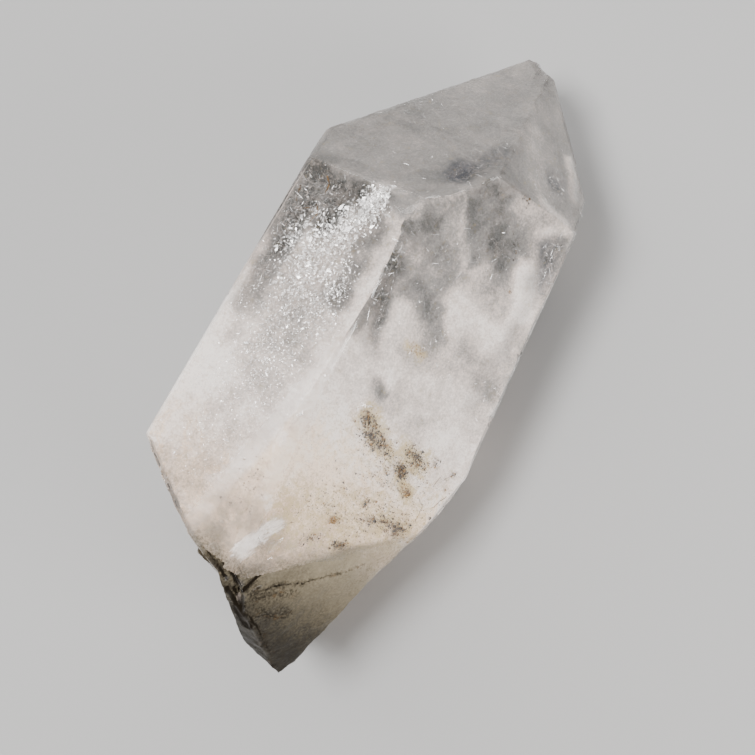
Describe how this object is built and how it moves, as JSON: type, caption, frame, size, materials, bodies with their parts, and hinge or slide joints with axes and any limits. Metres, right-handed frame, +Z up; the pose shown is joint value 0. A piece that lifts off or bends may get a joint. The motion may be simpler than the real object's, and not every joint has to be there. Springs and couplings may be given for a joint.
{
  "type": "quartz crystal point",
  "caption": "Large milky quartz point: a six-sided prism with a six-faced tip and a broken base, lying on one of its prism faces.",
  "frame": {"origin": "on the surface it rests on, under the middle of the bounding box", "axes": "+Y along the crystal's long axis towards the tip, +Z up, out of the upper prism face"},
  "size_m": [0.091, 0.2034, 0.0866],
  "materials": {
    "milky_quartz": "glassy natural crystal faces over milky, clouded quartz with smoky clear patches, rust-brown specks and a broken base"
  },
  "bodies": {
    "root": {"quartz_point": "milky_quartz"}
  },
  "joints": []
}
